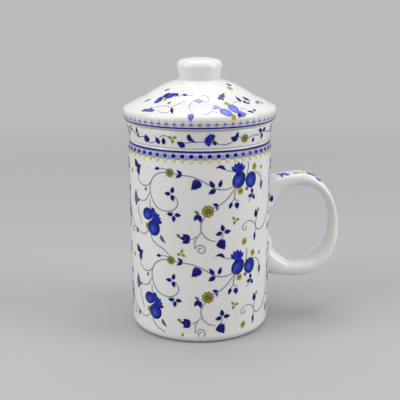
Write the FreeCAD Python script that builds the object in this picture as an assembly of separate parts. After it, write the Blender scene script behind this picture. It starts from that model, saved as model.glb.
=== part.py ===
import FreeCAD, Part
import math
import os

# A lidded tea mug with an infuser: a mug, a strainer cup that hangs in its mouth, and a lid.
# Sizes are in millimetres. Z is the mug's axis, z = 0 is the table, and the handle points along +X.

# Mug body
mug_height = 105.4
base_radius = 38.1
side_flare = 0.9
mug_wall = 3.4
mug_floor = 5.2
base_corner_height = 5.0
base_corner_inset = 2.9
inner_corner_radius = 7.0
shoulder_height = 5.6
shoulder_inset = 1.1
lip_round = 0.8
foot_ring_width = 3.8
foot_ring_height = 1.4
foot_ring_slope = 0.6

# Handle
handle_middle_standoff = 16.1
handle_sag = 1.2
handle_squareness = 2.15
handle_root_run = 40.0
grip_standoff = 35.2
grip_top = 76.7
grip_foot = 32.0
grip_upper_run = 15.0
grip_lower_run = 16.6
grip_squareness = 2.3
grip_root_squareness = 2.0
upper_root_turn = 151.5
lower_root_turn = 165.0
strap_thickness = 5.1
strap_top_thickness = 7.8
strap_foot_thickness = 8.4
strap_width = 9.6
strap_arm_width = 14.2
root_width = 18.0
root_tip_round = 1.6
root_tip_turn = 5.0
strap_sections = 18
strap_section_points = 16
strap_squareness = 2.4

# Infuser
collar_height = 9.9
collar_overhang = 0.1
collar_foot_inset = 0.8
collar_wall = 4.1
collar_belly_share = 0.67
collar_foot_round = 1.1
collar_lip_round = 1.5
collar_lip_height = 2.4
infuser_depth = 58.0
infuser_wall = 2.8
infuser_floor = 3.0
infuser_taper = 2.6
infuser_corner_radius = 4.5
infuser_gap = 1.2
collar_step_height = 3.6
strainer_hole_radius = 1.5
strainer_pitch = 6.0
strainer_margin = 0.4

# Lid
lid_overhang = 2.7
lid_rim_height = 8.1
lid_rim_inset = 2.8
lid_edge_height = 2.4
lid_edge_inset = 2.8
lid_widest_height = 4.9
flange_rise = 4.5
flange_bulge = 0.3
lid_rim_width = 12.0
dome_height = 9.0
dome_bulge = 0.6
lid_thickness = 4.2
lid_skirt_depth = 5.2
lid_skirt_wall = 2.8
lid_skirt_gap = 0.7
skirt_round = 0.8

# Knob
knob_height = 11.7
knob_radius = 12.3
knob_neck_radius = 11.3
knob_neck_hollow = 0.2
knob_widest_height = 6.4
knob_shoulder_inset = 3.2
knob_crown = 1.0
knob_seat_margin = 0.6

# Levels and radii that follow from the sizes above
mouth_radius = base_radius + side_flare
handle_middle = mouth_radius + handle_middle_standoff
grip_reach = mouth_radius + grip_standoff
handle_reach = grip_reach + strap_thickness
handle_top = grip_top + strap_top_thickness
handle_foot = grip_foot - strap_foot_thickness
collar_radius = mouth_radius + collar_overhang
collar_foot_radius = mouth_radius - collar_foot_inset
lid_radius = collar_radius + lid_overhang
dome_foot_radius = lid_radius - lid_rim_width
mouth_inner_radius = mouth_radius - mug_wall
lip_radius = mouth_radius - shoulder_inset
base_inner_radius = base_radius - mug_wall
collar_inner_radius = collar_radius - collar_wall
lid_seat = mug_height + collar_height
infuser_bottom = mug_height - infuser_depth
infuser_top_radius = mouth_inner_radius - infuser_gap
infuser_base_radius = infuser_top_radius - infuser_taper
lid_rim_top = lid_seat + lid_rim_height
dome_foot = lid_rim_top + flange_rise
dome_top = dome_foot + dome_height
knob_seat_radius = knob_neck_radius + knob_seat_margin

QUARTER_TURN_MID = 1 - math.sqrt(0.5)


def at(radius, height):
    return FreeCAD.Vector(radius, 0, height)


def line(a, b):
    return Part.LineSegment(a, b).toShape()


def arc(a, through, b):
    return Part.Arc(a, through, b).toShape()


def rounded(a, corner, b):
    """A rounding from a to b inside the corner that the two straight sides would make."""
    through = corner + (a - corner) * QUARTER_TURN_MID + (b - corner) * QUARTER_TURN_MID
    return arc(a, through, b)


def chain(start, steps):
    """Edges through the steps: a point is a straight run, a pair is a rounded corner and its end."""
    edges = []
    here = start
    for step in steps:
        if isinstance(step, tuple):
            edges.append(rounded(here, step[0], step[1]))
            here = step[1]
        else:
            edges.append(line(here, step))
            here = step
    return edges


def turned(edges):
    """The solid of revolution that a closed half section makes about the axis."""
    face = Part.Face(Part.Wire(edges))
    return face.revolve(FreeCAD.Vector(0, 0, 0), FreeCAD.Vector(0, 0, 1), 360)


def cap(rim, apex):
    """An arc from a rim point up or down to the axis, square to the axis there."""
    rise = apex.z - rim.z
    radius = (rim.x ** 2 + rise ** 2) / (2 * rise)
    angle = math.asin(rim.x / radius) / 2
    through = at(radius * math.sin(angle), apex.z - radius * (1 - math.cos(angle)))
    return arc(rim, through, apex)


def side_plug():
    """The mug's outer side as a plain turned plug, which the handle's roots are cut to."""
    shoulder = mug_height - shoulder_height
    steps = [at(base_radius, 0), at(base_radius, base_corner_height), at(mouth_radius, shoulder)]
    return turned(chain(at(0, 0), steps + [at(0, shoulder), at(0, 0)]))


def mug_body():
    land_outer = base_radius - base_corner_inset
    land_inner = land_outer - foot_ring_width
    shoulder = mug_height - shoulder_height
    bend = mug_height - shoulder_height / 2 - lip_round / 2
    floor_start = base_inner_radius - inner_corner_radius
    wall_foot = mug_floor + inner_corner_radius
    steps = [
        at(land_outer, 0),
        (at(base_radius, 0), at(base_radius, base_corner_height)),
        at(mouth_radius, shoulder),
        (at(mouth_radius, bend), at(lip_radius, mug_height - lip_round)),
        (at(lip_radius, mug_height), at(lip_radius - lip_round, mug_height)),
        at(mouth_inner_radius + lip_round, mug_height),
        (at(mouth_inner_radius, mug_height), at(mouth_inner_radius, mug_height - lip_round)),
        at(base_inner_radius, wall_foot),
        (at(base_inner_radius, mug_floor), at(floor_start, mug_floor)),
        at(0, mug_floor),
        at(0, foot_ring_height),
        at(land_inner - foot_ring_slope, foot_ring_height),
        at(land_inner, 0),
    ]
    return turned(chain(at(land_inner, 0), steps))


def signed_power(value, power):
    return math.copysign(abs(value) ** power, value)


def loop_point(turn, reach, run, top, foot, squareness):
    """A point of the handle's outer or inner loop. The turn is 0 at the far right and 90 degrees on top."""
    across = signed_power(math.cos(turn), 2 / squareness)
    upward = signed_power(math.sin(turn), 2 / squareness)
    sideways = reach - handle_middle if across > 0 else run
    return at(handle_middle + sideways * across, (top + foot) / 2 + (top - foot) / 2 * upward)


def grip_point(turn):
    """A point of the opening that the fingers go through."""
    run = grip_upper_run if turn > 0 else grip_lower_run
    squareness = grip_squareness if turn > -math.pi / 2 else grip_root_squareness
    return loop_point(turn, grip_reach, run, grip_top, grip_foot, squareness)


def strap_section(turn):
    """One cross-section of the strap: a soft flattened loop between the handle's outer and inner line."""
    outer = loop_point(turn, handle_reach, handle_root_run, handle_top, handle_foot, handle_squareness)
    outer.x -= handle_sag * math.sin(2 * turn) if math.cos(turn) > 0 else 0
    inner = grip_point(turn)
    centre = (outer + inner) * 0.5
    outward = (outer - inner) * 0.5
    arm_share = abs(math.sin(turn)) if math.cos(turn) > 0 else 1.0
    root_share = max(0.0, -math.cos(turn)) if turn > 0 else 0.0
    width = strap_width + (strap_arm_width - strap_width) * arm_share
    width += (root_width - strap_arm_width) * root_share
    power = 2 / strap_squareness
    points = []
    for k in range(strap_section_points):
        angle = 2 * math.pi * k / strap_section_points
        c = signed_power(math.cos(angle), power)
        s = signed_power(math.sin(angle), power)
        points.append(centre + outward * c + FreeCAD.Vector(0, s * width / 2, 0))
    spacing = [k / strap_section_points for k in range(strap_section_points + 1)]
    curve = Part.BSplineCurve()
    curve.interpolate(Points=points, PeriodicFlag=True, Parameters=spacing)
    return Part.Wire([curve.toShape(k / 4, (k + 1) / 4) for k in range(4)])


def root_tip_ring():
    """A ring round the mug below the upper root, whose hollow edge rounds the root's lower end."""
    tip = grip_point(math.radians(upper_root_turn))
    start = grip_point(math.radians(upper_root_turn - root_tip_turn))
    flat = at(tip.x - root_tip_round, tip.z)
    under = tip.z - root_tip_round
    inside = mouth_radius - mug_wall
    outside = start.x + root_tip_round
    steps = [(tip, flat), at(inside, tip.z), at(inside, under), at(outside, under), at(outside, start.z), start]
    return turned(chain(start, steps))


def mug_handle():
    start = math.radians(upper_root_turn)
    end = -math.radians(lower_root_turn)
    step = (end - start) / (strap_sections - 1)
    sections = [strap_section(start + step * k) for k in range(strap_sections)]
    return Part.makeLoft(sections, True, False).cut(side_plug()).cut(root_tip_ring())


def strainer_holes():
    """Drilling for the strainer: one hole in the middle and rings of six more each."""
    flat_radius = infuser_base_radius - infuser_wall - infuser_corner_radius / 2
    rings = int((flat_radius - strainer_hole_radius - strainer_margin) / strainer_pitch)
    drill_length = infuser_floor * 3
    start = infuser_bottom - infuser_floor
    drills = []
    for ring in range(rings + 1):
        count = max(1, 6 * ring)
        for k in range(count):
            angle = 2 * math.pi * (k + 0.5 * (ring % 2)) / count
            x = ring * strainer_pitch * math.cos(angle)
            y = ring * strainer_pitch * math.sin(angle)
            place = FreeCAD.Vector(x, y, start)
            drills.append(Part.makeCylinder(strainer_hole_radius, drill_length, place))
    return drills


def infuser_cup():
    belly = mug_height + collar_height * collar_belly_share
    lip = lid_seat - collar_lip_height
    inner_lip = lid_seat - lip_round
    step_top = mug_height + collar_step_height
    cup_inner_top = infuser_top_radius - infuser_wall
    cup_inner_base = infuser_base_radius - infuser_wall
    inside = infuser_bottom + infuser_floor
    corner_top = infuser_bottom + infuser_corner_radius
    inner_round = infuser_corner_radius / 2
    foot_flat = collar_foot_radius - collar_foot_round
    steps = [
        at(infuser_base_radius - infuser_corner_radius, infuser_bottom),
        (at(infuser_base_radius, infuser_bottom), at(infuser_base_radius, corner_top)),
        at(infuser_top_radius, mug_height),
        at(foot_flat, mug_height),
        (at(collar_foot_radius, mug_height), at(collar_foot_radius, mug_height + collar_foot_round)),
        at(collar_radius, belly),
        at(collar_radius, lip),
        (at(collar_radius, lid_seat), at(collar_radius - collar_lip_round, lid_seat)),
        at(collar_inner_radius + lip_round, lid_seat),
        (at(collar_inner_radius, lid_seat), at(collar_inner_radius, inner_lip)),
        at(collar_inner_radius, step_top),
        at(cup_inner_top, mug_height - collar_step_height),
        at(cup_inner_base, inside + inner_round),
        (at(cup_inner_base, inside), at(cup_inner_base - inner_round, inside)),
        at(0, inside),
        at(0, infuser_bottom),
    ]
    cup = turned(chain(at(0, infuser_bottom), steps))
    return cup.cut(Part.makeCompound(strainer_holes()))


def lid_dome():
    skirt_outer = collar_inner_radius - lid_skirt_gap
    skirt_inner = skirt_outer - lid_skirt_wall
    skirt_bottom = lid_seat - lid_skirt_depth
    edge_level = lid_seat + lid_edge_height
    widest = lid_seat + lid_widest_height
    rim_in = lid_radius - lid_rim_inset
    edge_radius = lid_radius - lid_edge_inset / 4
    under_foot = dome_foot - lid_thickness
    under_top = dome_top - lid_thickness
    foot_inner = dome_foot_radius - lid_thickness / 2
    edges = chain(
        at(skirt_outer, skirt_bottom + skirt_round),
        [
            at(skirt_outer, lid_seat),
            at(lid_radius - lid_edge_inset, lid_seat),
            (at(edge_radius, lid_seat), at(edge_radius, edge_level)),
            at(lid_radius, widest),
            (at(lid_radius, lid_rim_top), at(rim_in, lid_rim_top)),
        ],
    )
    flange_middle = (at(rim_in, lid_rim_top) + at(dome_foot_radius, dome_foot)) * 0.5
    flange_bulged = flange_middle + at(0, flange_bulge)
    edges.append(arc(at(rim_in, lid_rim_top), flange_bulged, at(dome_foot_radius, dome_foot)))
    dome_middle = (at(dome_foot_radius, dome_foot) + at(knob_seat_radius, dome_top)) * 0.5
    bulged = dome_middle + at(dome_bulge, dome_bulge)
    edges.append(arc(at(dome_foot_radius, dome_foot), bulged, at(knob_seat_radius, dome_top)))
    edges += chain(at(knob_seat_radius, dome_top), [at(0, dome_top), at(0, under_top)])
    edges.append(cap(at(foot_inner, under_foot), at(0, under_top)))
    edges += chain(
        at(foot_inner, under_foot),
        [
            (at(skirt_inner, under_foot - lid_thickness / 2), at(skirt_inner, lid_seat)),
            at(skirt_inner, skirt_bottom + skirt_round),
            (at(skirt_inner, skirt_bottom), at(skirt_inner + skirt_round, skirt_bottom)),
            at(skirt_outer - skirt_round, skirt_bottom),
            (at(skirt_outer, skirt_bottom), at(skirt_outer, skirt_bottom + skirt_round)),
        ],
    )
    return turned(edges)


def lid_knob():
    top = dome_top + knob_height
    widest = dome_top + knob_widest_height
    shoulder = top - knob_crown
    neck_mid = at((knob_neck_radius + knob_radius) / 2 - knob_neck_hollow, (dome_top + widest) / 2)
    edges = [line(at(0, dome_top), at(knob_neck_radius, dome_top))]
    edges.append(arc(at(knob_neck_radius, dome_top), neck_mid, at(knob_radius, widest)))
    crown_rim = at(knob_radius - knob_shoulder_inset, shoulder)
    edges.append(rounded(at(knob_radius, widest), at(knob_radius, shoulder), crown_rim))
    edges.append(cap(crown_rim, at(0, top)))
    edges.append(line(at(0, top), at(0, dome_top)))
    return turned(edges)


pieces = {
    "mug_body": mug_body(),
    "mug_handle": mug_handle(),
    "infuser_cup": infuser_cup(),
    "lid_dome": lid_dome(),
    "lid_knob": lid_knob(),
}

os.makedirs("parts", exist_ok=True)
for name, shape in pieces.items():
    shape.exportStep("parts/" + name + ".step")
    print(name, shape.isValid(), len(shape.Solids), round(shape.Volume, 1), shape.BoundBox)
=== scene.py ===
import math

import bmesh
import bpy
from mathutils import Matrix, Vector


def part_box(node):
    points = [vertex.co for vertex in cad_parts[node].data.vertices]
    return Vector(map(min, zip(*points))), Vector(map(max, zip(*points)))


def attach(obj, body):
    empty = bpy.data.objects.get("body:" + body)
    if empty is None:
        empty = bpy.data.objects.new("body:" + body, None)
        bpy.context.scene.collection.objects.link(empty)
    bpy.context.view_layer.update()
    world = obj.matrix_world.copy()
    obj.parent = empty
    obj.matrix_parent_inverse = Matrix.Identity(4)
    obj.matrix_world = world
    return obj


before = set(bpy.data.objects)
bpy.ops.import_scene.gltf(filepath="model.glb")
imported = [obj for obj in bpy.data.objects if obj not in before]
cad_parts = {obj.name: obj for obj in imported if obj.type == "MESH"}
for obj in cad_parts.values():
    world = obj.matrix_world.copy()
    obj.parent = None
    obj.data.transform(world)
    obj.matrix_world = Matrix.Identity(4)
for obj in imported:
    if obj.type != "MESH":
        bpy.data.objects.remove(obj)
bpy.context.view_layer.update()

# Mug body
# The real body is a straight-sided porcelain mug, cast in one piece and dipped in a clear glaze.
# Only the ring that it stands on is wiped bare before firing, and stays dry and a little creamy.
MM = 0.001
PORCELAIN = (0.79, 0.785, 0.76, 1)
PORCELAIN_COOL = (0.745, 0.75, 0.745, 1)
BARE_BISCUIT = (0.70, 0.66, 0.58, 1)
GLAZE_ROUGHNESS = 0.09
GLAZE_IOR = 1.52
BISCUIT_ROUGHNESS = 0.62


def link_all(tree, pairs):
    for source, target in pairs:
        tree.links.new(source, target)


def noise_of(tree, coordinates, scale, detail):
    """A noise texture at a scale in waves per metre."""
    noise = tree.nodes.new("ShaderNodeTexNoise")
    noise.inputs["Scale"].default_value = scale
    noise.inputs["Detail"].default_value = detail
    tree.links.new(coordinates, noise.inputs["Vector"])
    return noise


def span_of(tree, value, low, high, to_low, to_high):
    """A value carried from one span to another, and held at its ends."""
    span = tree.nodes.new("ShaderNodeMapRange")
    for name, number in (("From Min", low), ("From Max", high), ("To Min", to_low), ("To Max", to_high)):
        span.inputs[name].default_value = number
    tree.links.new(value, span.inputs["Value"])
    return span.outputs["Result"]


def bare_band(tree, coordinates, low, high):
    """1 between two heights, where the glaze was wiped off, and 0 elsewhere."""
    split = tree.nodes.new("ShaderNodeSeparateXYZ")
    tree.links.new(coordinates, split.inputs["Vector"])
    edge = 0.15 * MM
    above = span_of(tree, split.outputs["Z"], low - edge, low + edge, 0, 1)
    below = span_of(tree, split.outputs["Z"], high - edge, high + edge, 1, 0)
    both = tree.nodes.new("ShaderNodeMath")
    both.operation = "MULTIPLY"
    link_all(tree, ((above, both.inputs[0]), (below, both.inputs[1])))
    return both.outputs["Value"]


def glazed_porcelain(name, bare=()):
    """White porcelain under clear glaze: faint pooling of tone, a soft ripple, and dry bare bands."""
    material = bpy.data.materials.new(name)
    material.use_nodes = True
    tree = material.node_tree
    shader = tree.nodes["Principled BSDF"]
    place = tree.nodes.new("ShaderNodeTexCoord").outputs["Object"]
    tone = tree.nodes.new("ShaderNodeMix")
    tone.data_type = "RGBA"
    tone.inputs["A"].default_value = PORCELAIN
    tone.inputs["B"].default_value = PORCELAIN_COOL
    pooling = noise_of(tree, place, 28, 3)
    tree.links.new(span_of(tree, pooling.outputs["Fac"], 0.35, 0.68, 0, 1), tone.inputs["Factor"])
    ripple = noise_of(tree, place, 95, 1.5)
    pores = noise_of(tree, place, 1400, 2)
    height = tree.nodes.new("ShaderNodeMath")
    height.operation = "MULTIPLY_ADD"
    height.inputs[1].default_value = 0.12
    link_all(tree, ((pores.outputs["Fac"], height.inputs[0]), (ripple.outputs["Fac"], height.inputs[2])))
    bump = tree.nodes.new("ShaderNodeBump")
    bump.inputs["Strength"].default_value = 0.35
    bump.inputs["Distance"].default_value = 0.12 * MM
    tree.links.new(height.outputs["Value"], bump.inputs["Height"])
    tree.links.new(bump.outputs["Normal"], shader.inputs["Normal"])
    polish = span_of(tree, ripple.outputs["Fac"], 0.3, 0.7, GLAZE_ROUGHNESS - 0.02, GLAZE_ROUGHNESS + 0.03)
    colour, roughness = tone.outputs["Result"], polish
    for low, high in bare:
        mask = bare_band(tree, place, low, high)
        dry = tree.nodes.new("ShaderNodeMix")
        dry.data_type = "RGBA"
        dry.inputs["B"].default_value = BARE_BISCUIT
        link_all(tree, ((mask, dry.inputs["Factor"]), (colour, dry.inputs["A"])))
        rough = tree.nodes.new("ShaderNodeMix")
        rough.inputs["B"].default_value = BISCUIT_ROUGHNESS
        link_all(tree, ((mask, rough.inputs["Factor"]), (roughness, rough.inputs["A"])))
        colour, roughness = dry.outputs["Result"], rough.outputs["Result"]
    link_all(tree, ((colour, shader.inputs["Base Color"]), (roughness, shader.inputs["Roughness"])))
    shader.inputs["IOR"].default_value = GLAZE_IOR
    shader.inputs["Specular IOR Level"].default_value = 0.5
    return material


def finish_node(node, material):
    """Gives a carried-over node its finish and leaves its mesh alone."""
    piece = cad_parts[node]
    for slot in piece.material_slots:
        slot.material = material


MOUTH_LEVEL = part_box("mug_body")[1].z
FOOT_WIPED_TO = 0.6 * MM
finish_node("mug_body", glazed_porcelain("mug_glaze", bare=((-MM, FOOT_WIPED_TO),)))

# Mug print
# The decoration is a printed transfer, laid on the white ware and fired in: a ruled line and a beaded
# border under the lip, then a scrolling vine with berries and small flowers, twice round the mug.
NAVY = (0.001, 0.003, 0.14)
COBALT = (0.003, 0.010, 0.32)
BERRY_LIGHT = (0.04, 0.10, 0.72)
STEM_GREY = (0.16, 0.17, 0.27)
SLATE = (0.09, 0.11, 0.25)
OLIVE = (0.26, 0.24, 0.025)
OLIVE_DARK = (0.07, 0.06, 0.008)
OLIVE_LIGHT = (0.46, 0.42, 0.06)
OLIVE_RIM = (0.14, 0.125, 0.014)
BEAD_VIOLET = (0.36, 0.36, 0.62)
DROP_YELLOW = (0.70, 0.62, 0.25)
FILM_STEP = 0.018
FILM_FIRST = 2.5
FILM_BURIED = 0.10 * MM
FRONT = -97.5
RAY_START = 60 * MM


def mixed(a, b, share):
    return tuple(p + (q - p) * share for p, q in zip(a, b))


def smooth_line(points, spacing=1.3):
    """Points along a smooth line through given ones, about a spacing apart."""
    line = []
    ends = [points[0]] + list(points) + [points[-1]]
    for before, a, b, after in zip(ends, ends[1:], ends[2:], ends[3:]):
        steps = max(2, int(math.dist(a, b) / spacing))
        for k in range(steps):
            t = k / steps
            line.append(tuple(
                0.5 * (2 * p1 + (p2 - p0) * t + (2 * p0 - 5 * p1 + 4 * p2 - p3) * t * t
                       + (3 * p1 - p0 - 3 * p2 + p3) * t ** 3)
                for p0, p1, p2, p3 in zip(before, a, b, after)))
    line.append(tuple(points[-1]))
    return line


class TransferSheet:
    """A flat sheet of printed shapes in millimetres. Each is a thin patch with its ink in its points."""

    def __init__(self):
        self.points, self.faces, self.inks = [], [], []

    def patch(self, rows, inks, layer, closed=False):
        """Quads between rows of points, all rows of one length."""
        start, width = len(self.points), len(rows[0])
        for row, shades in zip(rows, inks):
            for (x, y), ink in zip(row, shades):
                self.points.append((x, y, (FILM_FIRST + layer) * FILM_STEP))
                self.inks.append(ink)
        for r in range(len(rows) - 1):
            for c in range(width if closed else width - 1):
                a, b = start + r * width + c, start + r * width + (c + 1) % width
                self.faces.append((a, b, b + width, a + width))

    def stroke(self, points, width, ink=STEM_GREY, layer=0, fade=0.55):
        """A drawn stem: a smooth line of even width whose ends thin out."""
        line = smooth_line(points)
        rows, inks = [], []
        for k, (x, y) in enumerate(line):
            ahead, behind = line[min(k + 1, len(line) - 1)], line[max(k - 1, 0)]
            dx, dy = ahead[0] - behind[0], ahead[1] - behind[1]
            size = math.hypot(dx, dy) or 1.0
            end = min(k, len(line) - 1 - k) / 3
            half = width / 2 * (fade + (1 - fade) * min(end, 1.0))
            nx, ny = -dy / size * half, dx / size * half
            rows.append([(x - nx, y - ny), (x + nx, y + ny)])
            inks.append([ink, ink])
        self.patch(rows, inks, layer)

    def leaf(self, x, y, turn, length, width, ink=NAVY, bend=0.0, layer=1, fullness=0.75, tip=None):
        """A brush-mark leaf. It starts at x, y, points along the turn in degrees, and may bend."""
        count = 7
        heading = math.radians(turn)
        rows, inks = [], []
        for k in range(count + 1):
            t = k / count
            along, aside = length * t, bend * length * math.sin(math.pi * t) * 0.5
            half = width / 2 * max(math.sin(math.pi * t ** fullness), 0.03)
            row, shades = [], []
            for s in (-1, -0.4, 0.4, 1):
                u, v = along, aside + s * half
                row.append((x + u * math.cos(heading) - v * math.sin(heading),
                            y + u * math.sin(heading) + v * math.cos(heading)))
                base = mixed(ink, tip, t) if tip else ink
                shades.append(mixed(base, COBALT, 0.25 * (1 - abs(s))) if ink == NAVY else base)
            rows.append(row)
            inks.append(shades)
        self.patch(rows, inks, layer)

    def leaf_on(self, x, y, turn, length, width, ink=NAVY, bend=0.0, layer=1):
        """A leaf placed by its middle."""
        heading = math.radians(turn)
        back = length / 2
        x, y = x - back * math.cos(heading), y - back * math.sin(heading)
        self.leaf(x, y, turn, length, width, ink, bend, layer)

    def disc(self, x, y, across, along, turn, rim, heart, layer=1, lobes=0, depth=0.0, shift=(0, 0),
             glow=1.3):
        """A round or lobed patch, shaded from its rim to a heart that may sit off the middle."""
        sides = 24 if max(across, along) > 2.4 else 12
        heading = math.radians(turn)
        rows, inks = [], []
        for ring in (1.0, 0.78, 0.52, 0.26, 0.03):
            row = []
            for k in range(sides):
                angle = 2 * math.pi * k / sides
                reach = ring * (1 - depth * (0.5 - 0.5 * math.cos(lobes * angle)) * ring)
                u = across / 2 * reach * math.cos(angle) + shift[0] * (1 - ring)
                v = along / 2 * reach * math.sin(angle) + shift[1] * (1 - ring)
                row.append((x + u * math.cos(heading) - v * math.sin(heading),
                            y + u * math.sin(heading) + v * math.cos(heading)))
            rows.append(row)
            inks.append([mixed(rim, heart, (1 - ring) ** glow)] * sides)
        self.patch(rows, inks, layer, closed=True)
        self.faces.append(tuple(range(len(self.points) - sides, len(self.points))))

    def berry(self, x, y, across, along, turn):
        """A round cobalt berry, dark at its rim, with a soft light low on one side."""
        shift = (-across * 0.13, -along * 0.13)
        self.disc(x, y, across, along, turn, NAVY, BERRY_LIGHT, 3, shift=shift, glow=1.7)

    def olive_bud(self, x, y, across, along, turn=0, layer=2, depth=0.2):
        """A small five-lobed flower in olive, dark at its heart."""
        self.disc(x, y, across, along, turn, OLIVE_LIGHT, OLIVE_DARK, layer, lobes=5, depth=depth)

    def olive_flower(self, x, y, size, petals=8):
        """A small open flower of round petals about a dark heart."""
        for k in range(petals):
            angle = 2 * math.pi * k / petals
            px, py = x + size * 0.31 * math.cos(angle), y + size * 0.31 * math.sin(angle)
            turn = math.degrees(angle)
            self.disc(px, py, size * 0.36, size * 0.32, turn, OLIVE_RIM, OLIVE_LIGHT, 2 + k % 2)
        self.disc(x, y, size * 0.42, size * 0.42, 0, OLIVE_DARK, OLIVE, 4)

    def trefoil(self, x, y, turn, size, ink=NAVY, spread=118):
        """Three leaves about one point, the middle one along the turn."""
        for k in (-1, 0, 1):
            heading = turn + k * spread
            gap = size * 0.12
            self.leaf(x + gap * math.cos(math.radians(heading)), y + gap * math.sin(math.radians(heading)),
                      heading, size, size * 0.62, ink, layer=1 + abs(k), fullness=0.8)

    def crown(self, x, y, turn, size):
        """A blossom seen from the side: a fan of pointed petals over a cup."""
        for k in (-2, -1, 0, 1, 2):
            self.leaf(x, y, turn + 24 * k, size * (1.0 - 0.05 * abs(k)), size * 0.42,
                      mixed(COBALT, BERRY_LIGHT, 0.12 * (k + 2) / 4), layer=1 + abs(k), fullness=1.25)
        self.disc(x, y, size * 0.55, size * 0.5, turn, NAVY, COBALT, 4)

    def heart_leaf(self, x, y, turn, length, width):
        """A broad leaf with a square shoulder, drawn as one dark patch."""
        self.leaf(x, y, turn, length, width, NAVY, layer=1, fullness=0.55)
        self.leaf(x, y, turn + 14, length * 0.86, width * 0.72, NAVY, layer=2, fullness=0.6)

    def spiral(self, x, y, radius, start, turns, width=0.42):
        """A tendril that curls in about x, y."""
        points = []
        for k in range(13):
            t = k / 12
            angle = math.radians(start) + 2 * math.pi * turns * t
            reach = radius * (1 - 0.72 * t)
            points.append((x + reach * math.cos(angle), y + reach * math.sin(angle)))
        self.stroke(points, width)

    def add_row(self, rise):
        """The same shapes once more, at another height, added to the sheet."""
        start = len(self.points)
        added = [(x, y + rise, z) for x, y, z in self.points]
        faces = [tuple(i + start for i in face) for face in self.faces]
        self.points += added
        self.inks += list(self.inks)
        self.faces += faces

    def trimmed(self, low):
        """Leaves out the faces that reach below a height."""
        self.faces = [f for f in self.faces if min(self.points[i][1] for i in f) > low]

    def piece(self, name):
        """The sheet as a flat mesh in metres, with the ink as an attribute of its points."""
        mesh = bpy.data.meshes.new(name)
        mesh.from_pydata([tuple(c * MM for c in p) for p in self.points], [], self.faces)
        ink = mesh.attributes.new("ink", "FLOAT_COLOR", "POINT")
        ink.data.foreach_set("color", [c for shade in self.inks for c in (*shade, 1.0)])
        trimmed = bmesh.new()
        trimmed.from_mesh(mesh)
        bmesh.ops.delete(trimmed, geom=[v for v in trimmed.verts if not v.link_faces], context="VERTS")
        trimmed.to_mesh(mesh)
        trimmed.free()
        sheet = bpy.data.objects.new(name, mesh)
        bpy.context.scene.collection.objects.link(sheet)
        return sheet


def printed_ink(name):
    """Fired ceramic ink under the glaze: the sheet's own colours with a faint printed grain."""
    material = bpy.data.materials.new(name)
    material.use_nodes = True
    tree = material.node_tree
    shader = tree.nodes["Principled BSDF"]
    place = tree.nodes.new("ShaderNodeTexCoord").outputs["Object"]
    ink = tree.nodes.new("ShaderNodeAttribute")
    ink.attribute_name = "ink"
    grain = noise_of(tree, place, 900, 2)
    worn = tree.nodes.new("ShaderNodeMix")
    worn.data_type = "RGBA"
    worn.blend_type = "MULTIPLY"
    worn.inputs["Factor"].default_value = 1.0
    tint = tree.nodes.new("ShaderNodeMix")
    tint.data_type = "RGBA"
    tint.inputs["A"].default_value = (0.80, 0.80, 0.84, 1)
    tint.inputs["B"].default_value = (1.25, 1.25, 1.2, 1)
    link_all(tree, (
        (grain.outputs["Fac"], tint.inputs["Factor"]),
        (ink.outputs["Color"], worn.inputs["A"]),
        (tint.outputs["Result"], worn.inputs["B"]),
        (worn.outputs["Result"], shader.inputs["Base Color"]),
    ))
    shader.inputs["Roughness"].default_value = GLAZE_ROUGHNESS + 0.03
    shader.inputs["IOR"].default_value = GLAZE_IOR
    shader.inputs["Specular IOR Level"].default_value = 0.18
    return material


FIRED_INK = printed_ink("fired_ink")


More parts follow.
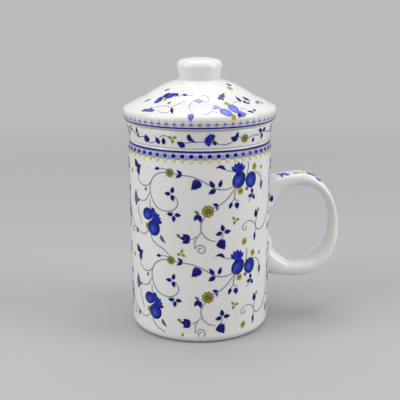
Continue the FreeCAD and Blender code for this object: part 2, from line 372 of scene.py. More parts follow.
def laying_tree(name, domed):
    """Lays a flat sheet on the ware: wrapped round an axis, or, domed, drawn down over a centre like a cap.

    Each point goes to where a straight line from outside meets the ware, and stands off by its film.
    """
    tree = bpy.data.node_groups.new(name, "GeometryNodeTree")
    face = tree.interface
    face.new_socket("Geometry", in_out="INPUT", socket_type="NodeSocketGeometry")
    for label, kind in (("Ware", "Object"), ("Ink", "Material"), ("Copies", "Int"), ("Step", "Float"),
                        ("Wrap radius", "Float"), ("Start", "Float"), ("Axis point", "Vector"),
                        ("Axis turn", "Vector")):
        face.new_socket(label, in_out="INPUT", socket_type="NodeSocket" + kind)
    face.new_socket("Geometry", in_out="OUTPUT", socket_type="NodeSocketGeometry")

    def node(kind, **settings):
        made = tree.nodes.new(kind)
        for key, value in settings.items():
            setattr(made, key, value)
        return made

    def maths(kind, operation, *values):
        made = node(kind, operation=operation)
        for socket, value in zip(made.inputs, values):
            if hasattr(value, "is_output"):
                tree.links.new(value, socket)
            else:
                socket.default_value = value
        return made.outputs["Vector"] if kind.endswith("VectorMath") else made.outputs["Value"]

    given = node("NodeGroupInput").outputs
    row = node("GeometryNodeMeshLine", mode="OFFSET")
    place_copies = node("GeometryNodeInstanceOnPoints")
    step = node("ShaderNodeCombineXYZ")
    link_all(tree, (
        (given["Copies"], row.inputs["Count"]),
        (row.outputs["Mesh"], place_copies.inputs["Points"]),
        (given["Geometry"], place_copies.inputs["Instance"]),
    ))
    if domed:
        row.inputs["Offset"].default_value = (0, 0, 0)
        index = node("GeometryNodeInputIndex").outputs["Index"]
        tree.links.new(maths("ShaderNodeMath", "MULTIPLY", index, given["Step"]), step.inputs["Z"])
        tree.links.new(step.outputs["Vector"], place_copies.inputs["Rotation"])
    else:
        tree.links.new(given["Step"], step.inputs["X"])
        tree.links.new(step.outputs["Vector"], row.inputs["Offset"])
    real = node("GeometryNodeRealizeInstances")
    tree.links.new(place_copies.outputs["Instances"], real.inputs["Geometry"])
    split = node("ShaderNodeSeparateXYZ")
    tree.links.new(node("GeometryNodeInputPosition").outputs["Position"], split.inputs["Vector"])
    outward, source = node("ShaderNodeCombineXYZ"), node("ShaderNodeCombineXYZ")
    if domed:
        flat = node("ShaderNodeCombineXYZ").outputs["Vector"]
        length = node("ShaderNodeVectorMath", operation="LENGTH")
        link_all(tree, (
            (split.outputs["X"], flat.node.inputs["X"]),
            (split.outputs["Y"], flat.node.inputs["Y"]),
            (flat, length.inputs[0]),
        ))
        reach = length.outputs["Value"]
        lean = maths("ShaderNodeMath", "DIVIDE", reach, given["Wrap radius"])
        share = maths("ShaderNodeMath", "DIVIDE", maths("ShaderNodeMath", "SINE", lean), reach)
        link_all(tree, (
            (maths("ShaderNodeMath", "MULTIPLY", split.outputs["X"], share), outward.inputs["X"]),
            (maths("ShaderNodeMath", "MULTIPLY", split.outputs["Y"], share), outward.inputs["Y"]),
            (maths("ShaderNodeMath", "COSINE", lean), outward.inputs["Z"]),
        ))
        for axis in "XYZ":
            leaning = outward.inputs[axis].links[0].from_socket
            tree.links.new(maths("ShaderNodeMath", "MULTIPLY", leaning, given["Start"]), source.inputs[axis])
    else:
        angle = maths("ShaderNodeMath", "DIVIDE", split.outputs["X"], given["Wrap radius"])
        cosine = maths("ShaderNodeMath", "COSINE", angle)
        sine = maths("ShaderNodeMath", "SINE", angle)
        link_all(tree, (
            (cosine, outward.inputs["X"]),
            (sine, outward.inputs["Y"]),
            (maths("ShaderNodeMath", "MULTIPLY", cosine, given["Start"]), source.inputs["X"]),
            (maths("ShaderNodeMath", "MULTIPLY", sine, given["Start"]), source.inputs["Y"]),
            (split.outputs["Y"], source.inputs["Z"]),
        ))

    def turned(vector):
        made = node("ShaderNodeVectorRotate", rotation_type="EULER_XYZ")
        link_all(tree, ((vector, made.inputs["Vector"]), (given["Axis turn"], made.inputs["Rotation"])))
        return made.outputs["Vector"]

    start = maths("ShaderNodeVectorMath", "ADD", turned(source.outputs["Vector"]), given["Axis point"])
    inward = maths("ShaderNodeVectorMath", "MULTIPLY", turned(outward.outputs["Vector"]), (-1, -1, -1))
    ware = node("GeometryNodeObjectInfo")
    meets = node("GeometryNodeRaycast")
    film = node("ShaderNodeVectorMath", operation="SCALE")
    put = node("GeometryNodeSetPosition")
    shade = node("GeometryNodeSetShadeSmooth")
    ink = node("GeometryNodeSetMaterial")
    leaving = node("NodeGroupOutput")
    link_all(tree, (
        (given["Ware"], ware.inputs["Object"]),
        (ware.outputs["Geometry"], meets.inputs["Target Geometry"]),
        (start, meets.inputs["Source Position"]),
        (inward, meets.inputs["Ray Direction"]),
        (given["Start"], meets.inputs["Ray Length"]),
        (real.outputs["Geometry"], put.inputs["Geometry"]),
        (meets.outputs["Hit Normal"], film.inputs[0]),
        (split.outputs["Z"], film.inputs["Scale"]),
        (maths("ShaderNodeVectorMath", "ADD", meets.outputs["Hit Position"], film.outputs["Vector"]),
         put.inputs["Position"]),
        (put.outputs["Geometry"], shade.inputs["Geometry"]),
        (shade.outputs["Geometry"], ink.inputs["Geometry"]),
        (given["Ink"], ink.inputs["Material"]),
        (ink.outputs["Geometry"], leaving.inputs["Geometry"]),
    ))
    return tree


WRAP = laying_tree("wrap_transfer", False)
CAP = laying_tree("cap_transfer", True)


def lay(sheet, tree, body, **settings):
    """Fires a sheet on its ware, gives the film its thickness, and joins it to its body."""
    modifier = sheet.modifiers.new("lay", "NODES")
    modifier.node_group = tree
    inputs = {s.name: s.identifier for s in tree.interface.items_tree if s.in_out == "INPUT"}
    for label, value in settings.items():
        modifier[inputs[label.replace("_", " ").capitalize()]] = value
    modifier[inputs["Ink"]] = FIRED_INK
    film = sheet.modifiers.new("film", "SOLIDIFY")
    film.thickness = FILM_BURIED
    film.offset = -1
    evaluated = sheet.evaluated_get(bpy.context.evaluated_depsgraph_get())
    mesh = bpy.data.meshes.new_from_object(evaluated)
    mesh.name = sheet.name
    sheet.modifiers.clear()
    sheet.data = mesh
    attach(sheet, body)


CELL_WIDTH = 121.2
CELL_HEIGHT = 47.0
BASE_CORNER = 4.0
STEM_WIDTH = 0.46
BORDER_BEADS = 52
BEAD_PHASE = 0.5
LINE_BELOW_MOUTH = 1.4
LINE_WIDTH = 0.9
BAND_PALE = (0.44, 0.45, 0.68)
WRAP_RADIUS = 2 * CELL_WIDTH / (2 * math.pi)


def vine_cell(sheet):
    """One repeat of the vine, drawn about the middle of the mug's front."""
    stems = (
        [(-15.7, 93.2), (-22, 92.2), (-26.6, 88.4), (-28.2, 83), (-26.6, 77.4), (-23.4, 73.8), (-18.6, 72.4),
         (-13.4, 73.8), (-11.4, 77.6), (-13.6, 81.4)],
        [(-15.7, 93.2), (-19, 95), (-22, 94.6)],
        [(-15.7, 93.0), (-10, 92.2), (-4.5, 91.6), (0.5, 89.6), (4, 87.6), (8, 85.2), (12, 84.3), (16, 84.8),
         (19, 86.5)],
        [(19.6, 85.6), (15.5, 80.5), (11.5, 77), (7.5, 75), (4.2, 73.4)],
        [(3.4, 71.4), (1.2, 68), (0.4, 64.5), (1.6, 61), (4.4, 58.2), (8.6, 56.8)],
        [(0.8, 62.2), (-1.6, 59.6), (-4.8, 58.2)],
        [(-0.8, 60.2), (-2.6, 57.2), (-2.6, 53.4)],
        [(9.6, 57.0), (11.6, 58.4), (12.4, 60.6)],
        [(20.0, 85.2), (18.6, 81.4), (19.0, 78.4), (21.4, 77.4)],
        [(18.6, 79.4), (17.1, 77.2)],
        [(31.6, 91.6), (35.4, 90.2), (37.6, 87.4), (38.2, 84.8)],
        [(26.2, 90.8), (27.2, 95.6), (26.4, 98.0)],
        [(13.2, 94.6), (16.0, 93.7), (18.2, 93.7)],
        [(-38.8, 88.6), (-36.6, 85.4), (-33.0, 84.2), (-29.6, 84.8), (-27.2, 87.4)],
        [(-28.8, 81.0), (-30.6, 77.4), (-34.0, 75.6), (-37.2, 75.8)],
        [(-28.2, 77.4), (-28.4, 74.0), (-27.2, 71.8)],
        [(-38.2, 72.6), (-38.8, 69.0), (-36.8, 66.0), (-35.6, 62.6)],
        [(-39.4, 58.8), (-36.0, 57.4), (-32.4, 58.0), (-29.8, 60.8)],
        [(-28.0, 59.6), (-27.6, 56.2), (-24.6, 53.6), (-20.0, 51.6), (-16.4, 48.6)],
        [(34.6, 66.4), (33.4, 63.2), (34.4, 60.2), (37.4, 59.2), (41.6, 60.4), (45.6, 64.0), (48.6, 69.0),
         (50.0, 74.0), (50.4, 79.0), (53.2, 83.0), (57.6, 84.0), (62.0, 83.0), (65.6, 80.4)],
        [(49.8, 76.6), (53.0, 73.6), (56.4, 72.8)],
        [(50.6, 80.0), (48.8, 85.2), (49.6, 89.6), (52.8, 91.6)],
        [(47.0, 66.4), (51.4, 64.6), (55.0, 64.6)],
        [(65.6, 80.4), (68.0, 76.6), (68.0, 71.8), (65.6, 68.0), (62.2, 66.4)],
        [(61.6, 83.2), (64.6, 87.0), (65.8, 91.0)],
        [(68.1, 73.2), (69.8, 69.6), (69.4, 65.6)],
        [(-39.4, 58.8), (-44.0, 60.0), (-48.0, 63.8), (-50.4, 66.0)],
        [(33.4, 62.0), (31.0, 64.8), (27.4, 65.6), (24.1, 64.1)],
        [(33.9, 60.8), (33.0, 58.4)],
        [(-15.0, 72.8), (-13.9, 71.4)],
        [(30.8, 81.4), (29.4, 78.2), (27.6, 76.0)],
        [(30.6, 80.4), (32.0, 77.8)],
    )
    for stem in stems:
        sheet.stroke(stem, STEM_WIDTH)
    sheet.spiral(25.4, 62.4, 2.0, 110, 0.9)
    sheet.spiral(-45.6, 57.2, 1.8, 60, 0.9)
    sheet.spiral(0.5, 52.6, 3.0, 170, -1.3)
    # the two clusters of berries
    sheet.berry(21.2, 88.6, 7.6, 9.4, -34)
    sheet.berry(29.2, 87.7, 7.8, 8.8, -8)
    sheet.crown(20.7, 92.3, 90, 6.0)
    sheet.berry(-30.4, 69.2, 7.8, 6.8, 20)
    sheet.berry(-26.2, 62.2, 8.4, 8.6, 12)
    sheet.crown(-26.0, 66.6, 42, 5.2)
    sheet.leaf(-26.6, 70.0, 84, 3.4, 3.2, COBALT, layer=2)
    sheet.leaf(-24.4, 66.4, 350, 4.0, 2.8, NAVY, layer=2)
    sheet.leaf(-21.8, 59.0, -52, 5.2, 2.0, SLATE, bend=-0.2)
    sheet.leaf(25.6, 84.4, -60, 2.6, 1.6, SLATE)
    # flowers
    sheet.olive_flower(-15.7, 93.0, 5.0)
    sheet.olive_flower(4.2, 73.2, 6.8, 9)
    sheet.olive_bud(31.6, 94.4, 3.6, 4.4)
    sheet.olive_bud(22.1, 82.6, 4.0, 4.2)
    sheet.olive_bud(-30.8, 62.6, 3.4, 4.2, layer=1)
    sheet.olive_bud(25.2, 54.9, 3.4, 4.6, -25, depth=0.15)
    sheet.disc(-31.4, 82.4, 1.8, 2.2, 0, OLIVE, OLIVE_DARK, 2)
    sheet.disc(37.6, 93.2, 1.6, 2.2, 0, OLIVE, OLIVE_DARK, 2)
    sheet.trefoil(19.2, 67.4, 250, 2.4, OLIVE)
    sheet.trefoil(-9.8, 50.2, 80, 2.4, OLIVE)
    sheet.olive_flower(58.2, 84.2, 5.6)
    sheet.olive_bud(55.8, 64.6, 3.4, 4.2)
    sheet.olive_bud(-45.4, 90.2, 2.6, 3.2)
    # single leaves, pairs and trefoils
    sheet.leaf(56.2, 72.8, 24, 4.6, 2.6)
    sheet.leaf(56.2, 72.8, -38, 4.4, 2.6)
    sheet.leaf_on(48.8, 58.4, 82, 5.0, 2.6, SLATE)
    sheet.trefoil(53.8, 92.0, 20, 3.4, NAVY, 100)
    sheet.trefoil(66.2, 92.2, 70, 3.6, NAVY, 100)
    sheet.trefoil(61.4, 66.2, 190, 3.4, NAVY, 90)
    sheet.leaf(68.2, 77.0, 62, 4.4, 2.4)
    sheet.leaf(69.4, 65.8, 262, 4.6, 2.2, SLATE)
    sheet.olive_bud(60.6, 77.0, 2.2, 2.8)
    sheet.leaf(66.6, 56.4, 74, 4.6, 2.4)
    sheet.trefoil(-50.8, 66.2, 170, 3.0, SLATE, 100)
    sheet.leaf(59.6, 55.0, 118, 5.0, 2.2, NAVY, bend=0.2)
    sheet.heart_leaf(0.0, 89.3, 226, 6.4, 5.2)
    sheet.heart_leaf(10.2, 57.3, 300, 6.0, 5.4)
    sheet.trefoil(-14.9, 81.9, 180, 3.6, NAVY, 106)
    sheet.trefoil(12.4, 61.6, 100, 3.9, NAVY, 96)
    sheet.trefoil(-13.7, 70.9, 268, 3.6, NAVY, 92)
    sheet.trefoil(30.4, 79.8, 200, 3.1, NAVY, 100)
    sheet.leaf(7.4, 85.5, 121, 4.7, 2.4)
    sheet.leaf(8.2, 84.6, 210, 4.4, 2.7)
    sheet.leaf(10.0, 85.6, 72, 4.4, 2.1)
    sheet.leaf(13.4, 94.6, 168, 5.6, 1.9, bend=-0.45)
    sheet.leaf(-9.2, 92.6, 142, 3.4, 1.7)
    sheet.leaf(-9.2, 92.6, 212, 3.9, 1.8)
    sheet.leaf(-21.6, 94.8, 190, 3.2, 1.7)
    sheet.leaf(-0.6, 71.6, 232, 4.2, 2.4)
    sheet.leaf(-0.4, 71.4, 282, 4.2, 2.4)
    sheet.leaf(-0.4, 71.8, 140, 3.2, 1.5, SLATE)
    sheet.leaf(-5.2, 58.0, 142, 4.8, 3.2, layer=2)
    sheet.leaf(-5.2, 58.2, 208, 4.6, 3.0, layer=3)
    sheet.leaf(-5.6, 58.4, 176, 5.2, 2.8, layer=1)
    sheet.leaf(-10.2, 59.2, 150, 2.6, 1.8, OLIVE, tip=OLIVE_DARK)
    sheet.leaf(17.0, 77.2, 248, 3.8, 2.0)
    sheet.leaf(19.8, 77.0, 278, 3.8, 2.8)
    sheet.leaf(9.6, 76.2, 165, 3.2, 1.8)
    sheet.leaf(9.2, 75.8, 262, 2.6, 1.4, SLATE)
    sheet.leaf(38.2, 86.2, 266, 5.2, 2.6, SLATE)
    sheet.leaf(34.0, 66.4, 98, 4.6, 2.9)
    sheet.leaf(34.4, 67.8, 128, 2.8, 1.4)
    sheet.leaf(35.0, 69.2, 60, 2.8, 1.6, OLIVE)
    sheet.leaf(33.0, 58.6, 266, 5.0, 1.7, NAVY)
    sheet.leaf(-38.8, 92.8, 118, 5.0, 3.6)
    sheet.leaf(-38.6, 92.4, 36, 4.0, 3.2)
    sheet.leaf(-38.4, 92.8, 288, 4.2, 3.2)
    sheet.leaf(-41.2, 71.4, 90, 9.0, 3.8, SLATE, fullness=0.9)
    sheet.leaf(-39.4, 74.8, 20, 2.8, 2.0, SLATE)
    sheet.leaf(-40.4, 56.4, 100, 3.6, 2.4, SLATE)


def beaded_border(sheet, line_level):
    """The ruled line, the band of beads and crosses under it, and the yellow drops below them."""
    pitch = CELL_WIDTH * 2 / BORDER_BEADS
    bead = line_level - 2.2
    blue, grey = mixed(NAVY, COBALT, 0.35), mixed(STEM_GREY, BAND_PALE, 0.25)
    for level, width, ink in ((line_level, LINE_WIDTH, blue), (bead, 3.0, BAND_PALE),
                              (bead + 1.6, 0.35, grey), (bead - 1.6, 0.35, grey)):
        sheet.stroke([(k * pitch / 4, level) for k in range(BORDER_BEADS * 4 + 1)], width, ink, fade=1)
    for k in range(BORDER_BEADS):
        x = (k + 0.5 + BEAD_PHASE) * pitch
        sheet.disc(x, bead, pitch * 0.92, 3.2, 0, BEAD_VIOLET, BEAD_VIOLET, 1, lobes=4, depth=0.14)
        for rise in (-1.0, 1.0):
            sheet.disc(x + pitch / 2, bead + rise, pitch * 0.34, 0.7, 0, STEM_GREY, STEM_GREY, 2)
        sheet.disc(x + pitch / 2, bead, 0.8, 0.9, 0, STEM_GREY, STEM_GREY, 2)
        sheet.disc(x, bead, 2.6, 2.5, 0, NAVY, NAVY, 3, lobes=4, depth=0.16)
        sheet.leaf(x, bead - 1.3, -90, 2.4, 2.3, DROP_YELLOW, layer=2, fullness=0.7)


mug_sheet = TransferSheet()
vine_cell(mug_sheet)
mug_sheet.add_row(-CELL_HEIGHT)
mug_sheet.trimmed(BASE_CORNER)
lay(mug_sheet.piece("mug_vine_print"), WRAP, "mug", ware=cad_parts["mug_body"],
    copies=2, step=CELL_WIDTH * MM, wrap_radius=WRAP_RADIUS * MM, start=RAY_START,
    axis_point=(0, 0, 0), axis_turn=(0, 0, math.radians(FRONT)))
border_sheet = TransferSheet()
beaded_border(border_sheet, MOUTH_LEVEL / MM - LINE_BELOW_MOUTH)
lay(border_sheet.piece("mug_border_print"), WRAP, "mug", ware=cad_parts["mug_body"],
    copies=1, step=0.0, wrap_radius=WRAP_RADIUS * MM, start=RAY_START,
    axis_point=(0, 0, 0), axis_turn=(0, 0, 0))

# Handle
# The real handle is a flattened strap, cast by itself and luted to the body, then glazed with it.
# Its outer face carries a few cut pieces of the same transfer, and one leaf lies on its upper root.
finish_node("mug_handle", glazed_porcelain("handle_glaze"))
HANDLE_LOW, HANDLE_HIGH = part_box("mug_handle")
LOOP_CENTRE = (55.1 * MM, 0, (HANDLE_LOW.z + HANDLE_HIGH.z) / 2)
LOOP_RADIUS = 30.0
handle_sheet = TransferSheet()


def on_loop(turn):
    """How far along the loop a turn in degrees from the handle's far side is."""
    return math.radians(turn) * LOOP_RADIUS


handle_sheet.trefoil(on_loop(108), 3.0, 200, 2.8, BERRY_LIGHT)
handle_sheet.stroke([(on_loop(93), 4.0), (on_loop(87), 2.8), (on_loop(80), 2.6)], 0.4)
handle_sheet.disc(on_loop(93), 3.6, 3.0, 2.4, 0, OLIVE_LIGHT, OLIVE_LIGHT, 2, lobes=5, depth=0.2)
handle_sheet.olive_bud(on_loop(-1), 3.0, 2.6, 2.4)
for turn, aside, heading, length, width, ink in (
    (104, 2.4, 8, 3.4, 2.0, COBALT), (105, 3.8, 150, 2.8, 1.6, COBALT),
    (81, 2.4, 176, 4.4, 2.8, COBALT), (76, 2.8, 190, 3.6, 2.2, COBALT),
    (71, 4.2, 160, 3.8, 2.0, BERRY_LIGHT), (66, 4.0, 200, 2.6, 1.4, BERRY_LIGHT),
):
    handle_sheet.leaf(on_loop(turn), aside, heading, length, width, ink)
lay(handle_sheet.piece("handle_print"), WRAP, "mug", ware=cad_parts["mug_handle"],
    copies=1, step=0.0, wrap_radius=LOOP_RADIUS * MM, start=RAY_START,
    axis_point=LOOP_CENTRE, axis_turn=(math.radians(90), 0, 0))
ROOT_AXIS = (42 * MM, 0, 0)
ROOT_RADIUS = 10 * MM
ROOT_RAY_START = 40 * MM
root_sheet = TransferSheet()
root_sheet.leaf_on(-3.5, 71.0, 84, 4.2, 2.2)
lay(root_sheet.piece("handle_root_print"), WRAP, "mug", ware=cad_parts["mug_handle"],
    copies=1, step=0.0, wrap_radius=ROOT_RADIUS, start=ROOT_RAY_START,
    axis_point=ROOT_AXIS, axis_turn=(0, 0, math.radians(-90)))

# Infuser
# The real infuser is a thin cup with a drilled floor, hung by its collar on the mug's lip.
# Its seat and its foot are wiped bare, and the collar carries a single run of the vine.
INFUSER_LOW, INFUSER_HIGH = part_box("infuser_cup")
SEAT_WIPED = 0.3 * MM
finish_node("infuser_cup", glazed_porcelain("infuser_glaze", bare=(
    (MOUTH_LEVEL - SEAT_WIPED, MOUTH_LEVEL + SEAT_WIPED), (INFUSER_LOW.z - MM, INFUSER_LOW.z + SEAT_WIPED))))
collar_sheet = TransferSheet()
COLLAR_MIDDLE = (MOUTH_LEVEL + INFUSER_HIGH.z) / 2 / MM
for stem in (
    [(-44.4, 2.6), (-41.0, 0.6), (-36.6, -0.8), (-32.6, -0.4), (-30.4, 0.6)],
    [(-30.0, -2.6), (-27.0, -3.0), (-24.0, -1.8)],
    [(-21.6, 0.4), (-19.0, 1.8), (-16.6, 1.2)],
    [(-8.6, -2.6), (-6.8, -1.5), (-3.0, -1.1), (2.6, -0.9)],
    [(8.8, -2.0), (12.4, -2.8), (16.4, -2.0), (18.6, -0.8)],
    [(20.4, 0.8), (22.6, 0.2)],
    [(27.0, -0.4), (30.4, 0.6), (34.4, 0.2), (37.2, 0.8)],
    [(39.6, 2.0), (44.4, 0.4), (49.0, 0.4), (53.0, 1.8)],
    [(54.6, -0.6), (59.0, -1.8), (64.0, -0.8), (69.0, 1.4), (73.8, 2.8)],
):
    collar_sheet.stroke([(x, y + COLLAR_MIDDLE) for x, y in stem], 0.42, SLATE)
for x, y, turn, length, width in (
    (-38.4, 2.2, 108, 3.6, 1.9), (-37.4, -0.2, 70, 2.6, 1.3), (-30.3, -1.0, 100, 4.2, 4.2),
    (-22.8, -1.2, 118, 4.2, 2.5), (-19.1, -1.2, 86, 4.0, 2.4), (-9.6, -2.4, 150, 4.8, 3.2),
    (18.0, 0.0, 160, 4.4, 3.0), (19.6, 1.6, 72, 3.8, 2.0), (30.7, -1.8, 96, 2.6, 1.7),
    (53.9, 0.2, 100, 4.4, 2.0), (51.8, 2.0, 130, 3.0, 1.5), (60.6, -0.6, 60, 3.8, 2.0),
    (66.0, 1.2, 110, 3.6, 1.9), (70.0, -1.0, 80, 3.4, 1.8),
):
    collar_sheet.leaf_on(x, y + COLLAR_MIDDLE, turn, length, width)
collar_sheet.leaf(-6.0, COLLAR_MIDDLE + 2.9, -44, 5.4, 2.5, bend=-0.35, fullness=0.55)
collar_sheet.crown(5.8, COLLAR_MIDDLE - 0.3, 196, 3.9)
collar_sheet.crown(6.0, COLLAR_MIDDLE, 108, 3.5)
collar_sheet.leaf_on(7.6, COLLAR_MIDDLE - 1.7, 150, 2.8, 2.0, NAVY, layer=5)
collar_sheet.disc(6.5, COLLAR_MIDDLE - 0.4, 2.2, 2.2, 20, OLIVE_DARK, OLIVE, 6)
collar_sheet.olive_flower(24.6, COLLAR_MIDDLE - 0.4, 4.8)
collar_sheet.trefoil(-14.1, COLLAR_MIDDLE + 0.3, 270, 2.4, OLIVE)
collar_sheet.olive_bud(-45.8, COLLAR_MIDDLE + 2.0, 3.8, 4.0)
collar_sheet.trefoil(38.1, COLLAR_MIDDLE + 1.3, 270, 3.6)
lay(collar_sheet.piece("infuser_print"), WRAP, "infuser", ware=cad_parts["infuser_cup"],
    copies=2, step=CELL_WIDTH * MM, wrap_radius=WRAP_RADIUS * MM, start=RAY_START,
    axis_point=(0, 0, 0), axis_turn=(0, 0, math.radians(FRONT)))

# Lid
# The real lid is a domed plate with a thick rounded rim and a skirt underneath that centres it.
# The band that sits on the infuser is wiped bare. The beaded border runs round the rim's outer face.
LID_SEAT = INFUSER_HIGH.z
finish_node("lid_dome", glazed_porcelain("lid_glaze", bare=((LID_SEAT - SEAT_WIPED, LID_SEAT + SEAT_WIPED),)))
# the lid's outline in millimetres: its rim, the slopes on both sides of it, and the cap's own centre
LID_RIM_TOP = 123.4
LID_RIM_INSIDE = 39.0
FLANGE_SLOPE = 0.489
RIM_SLOPE = -1.15
CAP_CENTRE = 90.0
CAP_RADIUS = 46.0
CAP_RAY_START = 120 * MM
lid_sheet = TransferSheet()


def on_lid(azimuth, radius):
    """A place on the lid's sheet, from its azimuth to the right of the front and its distance to the axis."""
    fall = radius - LID_RIM_INSIDE
    level = LID_RIM_TOP + (RIM_SLOPE * fall if fall > 0 else -FLANGE_SLOPE * fall)
    reach = CAP_RADIUS * math.atan2(radius, level - CAP_CENTRE)
    angle = math.radians(azimuth + FRONT)
    return reach * math.cos(angle), reach * math.sin(angle)


def lid_leaf(azimuth, radius, turn, length, width, ink=NAVY):
    """A leaf on the lid, placed by its middle, its turn counted from straight to the right."""
    x, y = on_lid(azimuth, radius)
    lid_sheet.leaf_on(x, y, turn + azimuth + FRONT + 90, length, width, ink)


def lid_spot(azimuth, radius, size):
    """A small olive flower on the lid."""
    x, y = on_lid(azimuth, radius)
    lid_sheet.disc(x, y, size, size * 1.1, azimuth, OLIVE_LIGHT, OLIVE, 2, lobes=5, depth=0.2)


# the lid's stems: the print's stem grey, paled halfway to white as a painted highlight for the strong light
# on the lid's top
LID_STEM_GREY_PAINTED_HIGHLIGHT = mixed(STEM_GREY, (0.75, 0.75, 0.78), 0.5)
for places in (
    [(-31, 26.0), (-24, 25.5), (-17, 24.2), (-11, 25.0), (-6, 24.0)],
    [(-40, 35.6), (-33, 33.6), (-27, 33.8), (-23, 36.0), (-25, 38.4), (-31, 38.6), (-35, 37.0)],
    [(-24, 34.6), (-20, 31.0), (-16, 29.0), (-13, 30.0)],
    [(-4, 38.4), (-8, 35.0), (-9, 31.0), (-5, 28.0), (0, 27.0)],
    [(1, 25.4), (7, 24.6), (10, 27.0), (8, 29.4), (4, 28.6)],
    [(14, 38.0), (9, 37.2), (6, 39.0), (2, 39.4)],
    [(33, 38.2), (37, 35.8), (39, 38.0)],
    [(30, 33.0), (36, 30.4), (42, 31.0), (47, 29.0)],
    [(56, 37.0), (61, 33.0), (67, 32.6), (69, 35.0)],
):
    lid_sheet.stroke([on_lid(*place) for place in places], 0.36, LID_STEM_GREY_PAINTED_HIGHLIGHT)
VIOLET = mixed(COBALT, (0.30, 0.32, 0.80), 0.5)
PALE_BERRY = mixed(VIOLET, (0.3, 0.34, 0.9), 0.6)
for azimuth, radius, lean, across, along, rim, heart in (
    (-45.4, 29.6, 4, 3.9, 5.8, COBALT, BERRY_LIGHT), (-35.5, 25.6, -50, 3.7, 5.4, COBALT, BERRY_LIGHT),
    (20.2, 38.2, 56, 5.0, 6.6, VIOLET, PALE_BERRY), (28.6, 35.6, 8, 5.4, 6.6, VIOLET, PALE_BERRY),
):
    x, y = on_lid(azimuth, radius)
    lid_sheet.disc(x, y, across, along, azimuth + FRONT + 90 + lean, rim, heart, 3, shift=(-0.6, -0.8))
PALE_VIOLET = mixed(VIOLET, (0.6, 0.6, 0.8), 0.5)
for azimuth, radius, turn, length, width, ink in (
    (-41.5, 25.4, 66, 4.6, 2.8, NAVY), (-29, 24.4, 160, 3.4, 2.0, COBALT),
    (32.4, 39.8, -10, 4.6, 3.6, VIOLET), (29.4, 40.0, 70, 3.4, 2.2, COBALT),
    (-46.5, 38.4, 20, 4.2, 2.2, SLATE), (-43, 37.6, 70, 4.2, 2.0, SLATE),
    (-40, 38.0, 4, 4.4, 2.2, SLATE), (-22, 37.0, 300, 4.8, 1.6, NAVY),
    (-18, 24.4, 170, 3.0, 1.5, NAVY), (-6.2, 40.4, 262, 4.4, 3.2, VIOLET),
    (26, 25.6, 150, 3.4, 2.2, SLATE), (22, 26.8, 60, 3.2, 1.8, SLATE),
    (29, 24.6, 40, 2.8, 1.7, SLATE), (24.6, 27.4, 100, 3.0, 1.5, SLATE),
    (14, 33.4, 120, 3.0, 2.0, PALE_VIOLET), (16, 34.6, 30, 2.8, 1.8, PALE_VIOLET),
    (12, 34.8, 200, 2.6, 1.6, PALE_VIOLET), (44, 28.8, 100, 4.6, 2.0, NAVY),
    (47.5, 31.4, 40, 3.2, 1.8, NAVY), (55, 29.4, 118, 4.6, 2.4, NAVY),
    (49.5, 32.8, 10, 3.4, 1.6, SLATE), (41, 39.2, 160, 3.2, 1.8, NAVY),
    (46.5, 38.6, 30, 3.0, 1.4, SLATE), (59, 17.6, 110, 3.2, 2.0, NAVY),
    (-50, 21.6, 40, 3.4, 1.3, SLATE), (-60, 31.0, 70, 3.6, 1.5, SLATE),
    (63, 33.8, 20, 3.4, 1.6, SLATE), (-0.5, 28.8, 90, 3.2, 1.8, PALE_VIOLET),
    (-2.6, 28.6, 180, 2.6, 1.6, PALE_VIOLET), (1.8, 28.6, 0, 2.6, 1.6, PALE_VIOLET),
    (-30, 30.8, 80, 2.6, 1.3, SLATE),
):
    lid_leaf(azimuth, radius, turn, length, width, ink)
for azimuth, radius, size in (
    (-38.5, 28.2, 2.6), (26, 31.4, 3.2), (24.4, 40.6, 3.2), (49.5, 20.4, 3.6), (68, 34.4, 3.0),
):
    lid_spot(azimuth, radius, size)
lay(lid_sheet.piece("lid_vine_print"), CAP, "lid", ware=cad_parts["lid_dome"],
    copies=2, step=math.pi, wrap_radius=CAP_RADIUS * MM, start=CAP_RAY_START,
    axis_point=(0, 0, CAP_CENTRE * MM), axis_turn=(0, 0, 0))
LID_BEADS = 60
LINE_ABOVE_SEAT = 1.25
LID_LINE = LID_SEAT / MM + LINE_ABOVE_SEAT
RIM_PITCH = CELL_WIDTH * 2 / LID_BEADS
# the lid border's bead violet and drop yellow: the mug border's print colours, paled towards white as a
# painted highlight for the strong light on the lid
LID_BEAD_VIOLET_PAINTED_HIGHLIGHT = mixed(BEAD_VIOLET, (0.8, 0.8, 0.8), 0.35)
LID_TICK_YELLOW_PAINTED_HIGHLIGHT = mixed(DROP_YELLOW, (0.8, 0.8, 0.75), 0.45)
rim_sheet = TransferSheet()
rim_line = [(k * RIM_PITCH, LID_LINE) for k in range(LID_BEADS + 1)]
rim_sheet.stroke(rim_line, 0.8, mixed(NAVY, COBALT, 0.6), fade=1)
for k in range(LID_BEADS):
    place = (k + 0.75) * RIM_PITCH
    rim_sheet.disc(place, LID_LINE + 1.45, RIM_PITCH * 0.98, 1.9, 0, LID_BEAD_VIOLET_PAINTED_HIGHLIGHT, LID_BEAD_VIOLET_PAINTED_HIGHLIGHT, 0)
    rim_sheet.disc(place, LID_LINE + 1.8, 1.7, 1.4, 0, VIOLET, VIOLET, 2)
    rim_sheet.leaf(place, LID_LINE + 2.3, 90, 1.7, 1.4, LID_TICK_YELLOW_PAINTED_HIGHLIGHT)
lay(rim_sheet.piece("lid_border_print"), WRAP, "lid", ware=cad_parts["lid_dome"],
    copies=1, step=0.0, wrap_radius=WRAP_RADIUS * MM, start=RAY_START,
    axis_point=(0, 0, 0), axis_turn=(0, 0, 0))

# Knob
# The real knob is turned or cast by itself and luted to the lid's crown, where a fine crease stays.
# It is left plain white.
finish_node("lid_knob", glazed_porcelain("knob_glaze"))

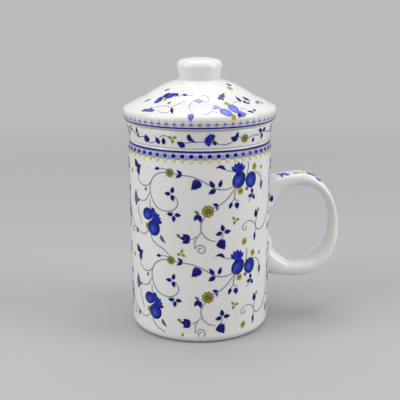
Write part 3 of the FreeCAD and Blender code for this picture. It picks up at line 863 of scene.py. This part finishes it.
# Table, light and camera
# A plain pale table that fades into a backdrop of the same grey, two broad soft lamps at the sides
# and one above, and the camera where the photograph was taken from: a little above the lid.
TABLE_RADIUS = 6
TABLE_GREY = 0.42
BACKDROP_GREY = 0.50
FADE_FROM = 0.12
FADE_TO = 0.75
WORLD_LEVEL = 0.42
table = bpy.data.objects.new("table", bpy.data.meshes.new("table"))
bpy.context.scene.collection.objects.link(table)
disc = bmesh.new()
bmesh.ops.create_circle(disc, cap_ends=True, segments=96, radius=TABLE_RADIUS)
disc.to_mesh(table.data)
disc.free()
table_finish = bpy.data.materials.new("pale_table")
table_finish.use_nodes = True
table_tree = table_finish.node_tree
table_shader = table_tree.nodes["Principled BSDF"]
table_shader.inputs["Base Color"].default_value = (TABLE_GREY, TABLE_GREY, TABLE_GREY, 1)
table_shader.inputs["Roughness"].default_value = 0.7
far_glow = table_tree.nodes.new("ShaderNodeEmission")
far_glow.inputs["Color"].default_value = (1, 1, 1, 1)
far_glow.inputs["Strength"].default_value = BACKDROP_GREY
table_place = table_tree.nodes.new("ShaderNodeTexCoord")
from_middle = table_tree.nodes.new("ShaderNodeVectorMath")
from_middle.operation = "LENGTH"
table_mix = table_tree.nodes.new("ShaderNodeMixShader")
camera_sees = table_tree.nodes.new("ShaderNodeLightPath")
seen_far = table_tree.nodes.new("ShaderNodeMath")
seen_far.operation = "MULTIPLY"
link_all(table_tree, (
    (table_place.outputs["Object"], from_middle.inputs[0]),
    (span_of(table_tree, from_middle.outputs["Value"], FADE_FROM, FADE_TO, 0, 1), seen_far.inputs[0]),
    (camera_sees.outputs["Is Camera Ray"], seen_far.inputs[1]),
    (seen_far.outputs["Value"], table_mix.inputs["Fac"]),
    (table_shader.outputs["BSDF"], table_mix.inputs[1]),
    (far_glow.outputs["Emission"], table_mix.inputs[2]),
    (table_mix.outputs["Shader"], table_tree.nodes["Material Output"].inputs["Surface"]),
))
table.data.materials.append(table_finish)

world = bpy.data.worlds.new("studio")
bpy.context.scene.world = world
world.use_nodes = True
sky = world.node_tree
backdrop = sky.nodes["Background"]
backdrop.inputs["Color"].default_value = (1, 1, 1, 1)
path = sky.nodes.new("ShaderNodeLightPath")
seen = sky.nodes.new("ShaderNodeMath")
seen.operation = "MAXIMUM"
either = sky.nodes.new("ShaderNodeMath")
either.operation = "MAXIMUM"
level = sky.nodes.new("ShaderNodeMix")
level.inputs["A"].default_value = WORLD_LEVEL
level.inputs["B"].default_value = BACKDROP_GREY
link_all(sky, (
    (path.outputs["Is Camera Ray"], seen.inputs[0]),
    (path.outputs["Is Glossy Ray"], seen.inputs[1]),
    (seen.outputs["Value"], either.inputs[0]),
    (path.outputs["Is Transmission Ray"], either.inputs[1]),
    (either.outputs["Value"], level.inputs["Factor"]),
    (level.outputs["Result"], backdrop.inputs["Strength"]),
))


def soft_lamp(name, place, aim, size, watts):
    lamp = bpy.data.lights.new(name, "AREA")
    lamp.shape = "RECTANGLE"
    lamp.size, lamp.size_y = size
    lamp.energy = watts
    holder = bpy.data.objects.new(name, lamp)
    holder.location = place
    holder.rotation_euler = (Vector(aim) - Vector(place)).to_track_quat("-Z", "Y").to_euler()
    bpy.context.scene.collection.objects.link(holder)


soft_lamp("left_lamp", (-0.75, -0.25, 0.55), (0, 0, 0.08), (0.6, 0.8), 4.3)
soft_lamp("right_lamp", (0.80, -0.30, 0.50), (0, 0, 0.08), (0.5, 0.8), 4.6)
soft_lamp("top_lamp", (0.0, 0.05, 0.95), (0, 0, 0.1), (0.7, 0.7), 4.0)

CAMERA_DISTANCE = 0.4613
CAMERA_HEIGHT = 0.1859
CAMERA_AZIMUTH = math.radians(7.5)
CAMERA_PITCH = 0.24697
CAMERA_ROLL = -0.002
CAMERA_ASIDE = 0.0001
FOCAL_PIXELS = 853.1
FRAME_PIXELS = 400
SENSOR_WIDTH = 36
toward = Vector((math.sin(CAMERA_AZIMUTH), math.cos(CAMERA_AZIMUTH), 0))
right = Vector((math.cos(CAMERA_AZIMUTH), -math.sin(CAMERA_AZIMUTH), 0))
forward = toward * math.cos(CAMERA_PITCH) - Vector((0, 0, math.sin(CAMERA_PITCH)))
upward = toward * math.sin(CAMERA_PITCH) + Vector((0, 0, math.cos(CAMERA_PITCH)))
rolled_right = right * math.cos(CAMERA_ROLL) + upward * math.sin(CAMERA_ROLL)
rolled_up = upward * math.cos(CAMERA_ROLL) - right * math.sin(CAMERA_ROLL)
facing = Matrix((rolled_right, rolled_up, -forward)).transposed()
lens = bpy.data.cameras.new("camera")
lens.sensor_width = SENSOR_WIDTH
lens.lens = SENSOR_WIDTH * FOCAL_PIXELS / FRAME_PIXELS
camera = bpy.data.objects.new("camera", lens)
eye = right * CAMERA_ASIDE - toward * CAMERA_DISTANCE + Vector((0, 0, CAMERA_HEIGHT))
camera.matrix_world = Matrix.Translation(eye) @ facing.to_4x4()
bpy.context.scene.collection.objects.link(camera)
bpy.context.scene.camera = camera
bpy.context.scene.view_settings.view_transform = "Standard"
